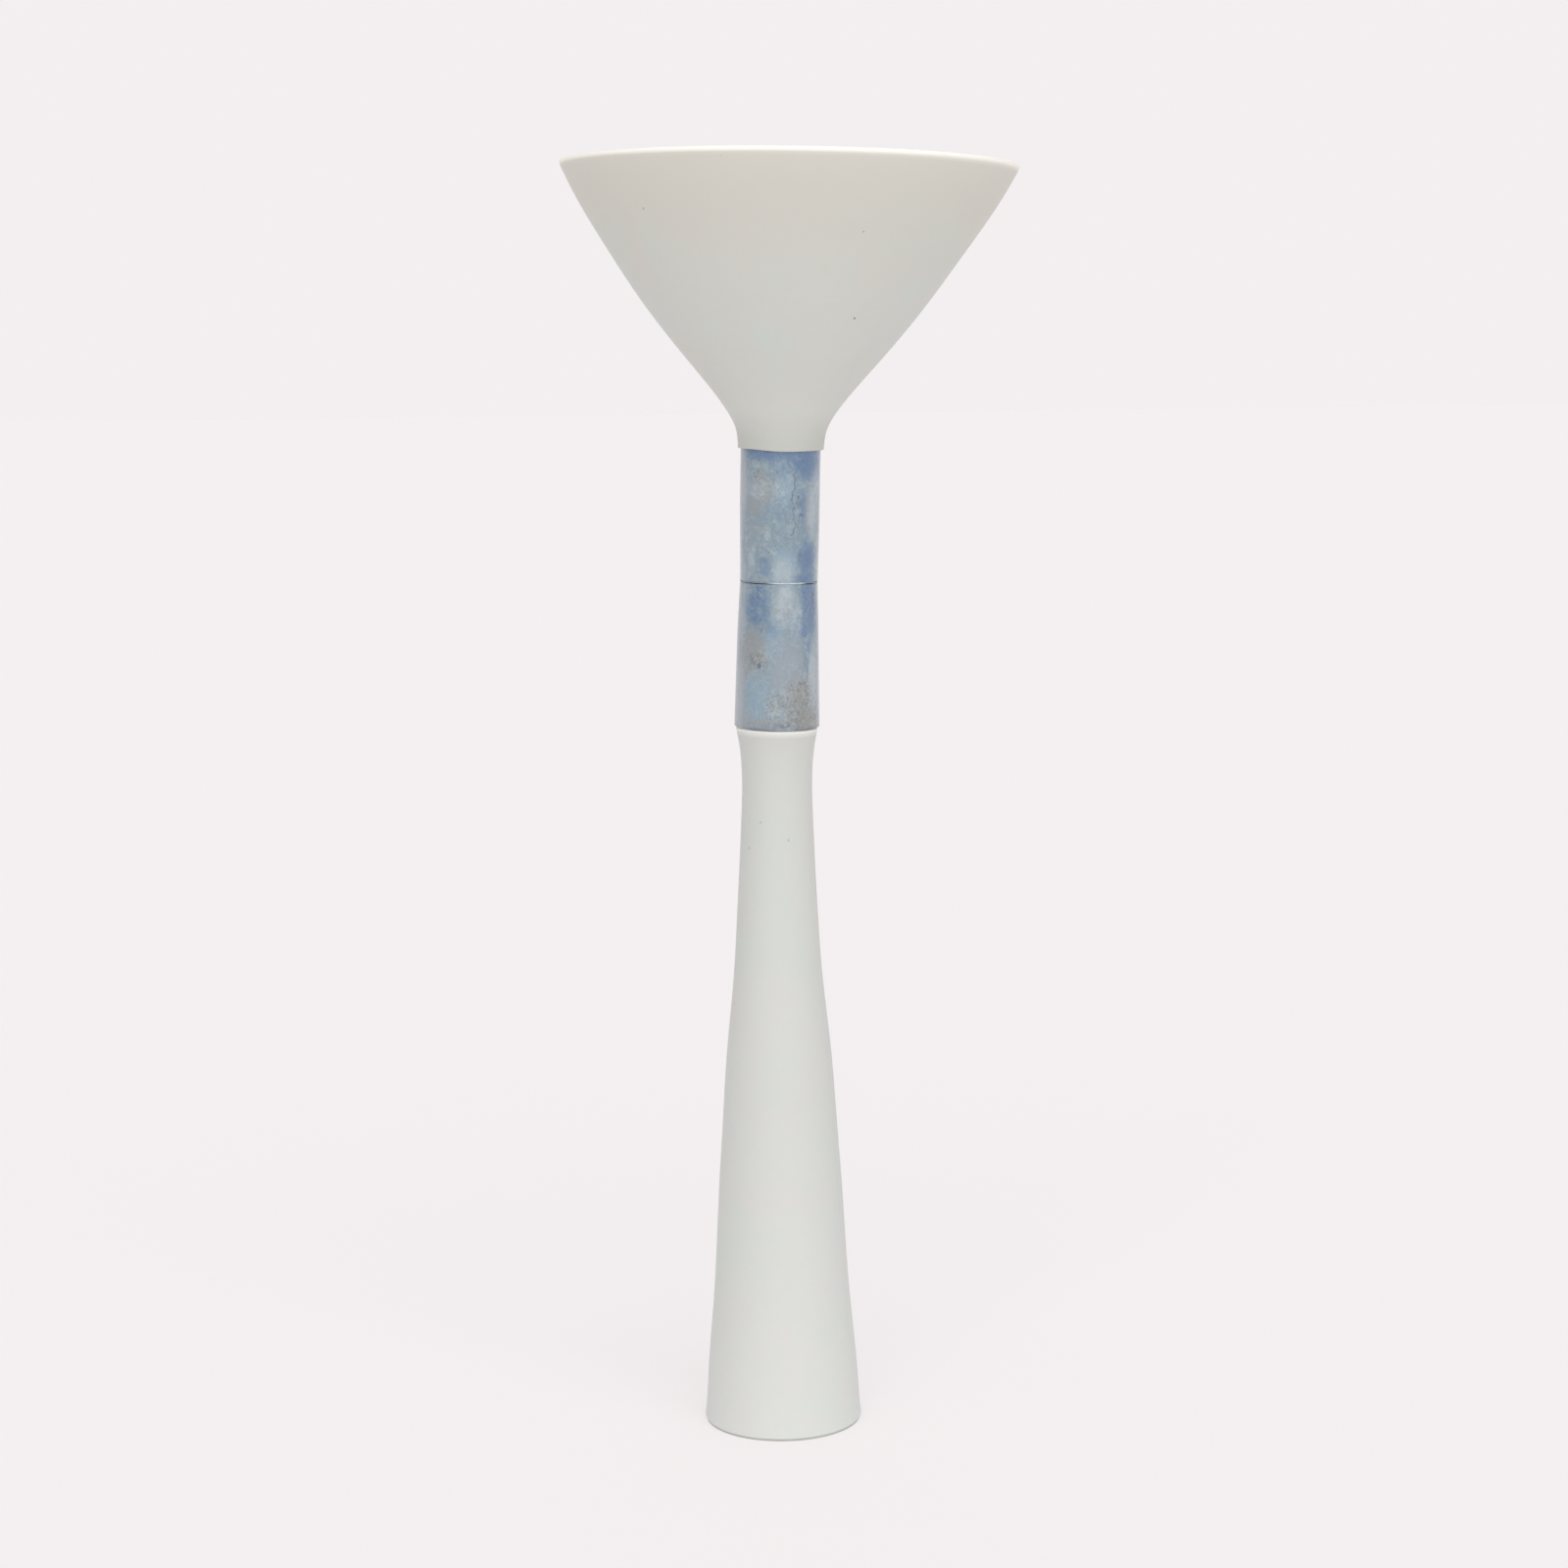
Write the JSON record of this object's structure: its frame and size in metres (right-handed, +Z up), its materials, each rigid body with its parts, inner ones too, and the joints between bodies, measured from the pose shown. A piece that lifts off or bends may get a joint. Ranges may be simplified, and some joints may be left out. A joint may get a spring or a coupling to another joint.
{
  "type": "buchner funnel",
  "caption": "Slender porcelain filter funnel: wide cone with a loose perforated plate, two stacked tube sleeves and a flared hollow pedestal foot that collects the filtrate.",
  "frame": {"origin": "centre of the foot pad's underside, where the foot rests on the table", "axes": "+Z up along the foot's axis; the sleeves and the bowl lean a little towards +X; +Y away from the viewer"},
  "size_m": [0.2402, 0.2402, 0.6809],
  "materials": {
    "ballast_iron": "as cast",
    "white_porcelain": "satin, pale grey-green",
    "blue_porcelain": "satin, mottled blue and grey",
    "cream_porcelain": "satin, cream",
    "plain_porcelain": "clear glazed",
    "pale_gasket": "matte white silicone",
    "rubber": "matte black"
  },
  "bodies": {
    "base": {"foot_pad": "pale_gasket", "ballast_disc": "ballast_iron", "pedestal_foot": "white_porcelain", "neck_bung": "rubber", "lower_seat_ring": "pale_gasket"},
    "lower_tube": {"lower_sleeve": "blue_porcelain", "seam_ring": "pale_gasket"},
    "upper_tube": {"upper_sleeve": "blue_porcelain"},
    "funnel_seat": {"collar_ring": "pale_gasket"},
    "funnel": {"funnel_bowl": "cream_porcelain", "stem_washer": "rubber", "drain_stem": "plain_porcelain"},
    "plate": {"filter_plate": "plain_porcelain"}
  },
  "joints": [
    {"name": "lower_sleeve_lift", "type": "slide", "parent": "base", "child": "lower_tube", "axis": [0.0262, 0, 0.9997], "range_m": [0, 0.02]},
    {"name": "upper_sleeve_lift", "type": "slide", "parent": "lower_tube", "child": "upper_tube", "axis": [0.0262, 0, 0.9997], "range_m": [0, 0.02]},
    {"name": "funnel_lift", "type": "slide", "parent": "upper_tube", "child": "funnel_seat", "axis": [0.0262, 0, 0.9997], "range_m": [0, 0.22]},
    {"name": "funnel_turn", "type": "hinge", "parent": "funnel_seat", "child": "funnel", "pos_m": [0.00498, 0, 0.53865], "axis": [0.0262, 0, 0.9997], "continuous": true},
    {"name": "plate_lift", "type": "slide", "parent": "funnel", "child": "plate", "axis": [0.0384, 0, 0.9993], "range_m": [0, 0.12]}
  ]
}
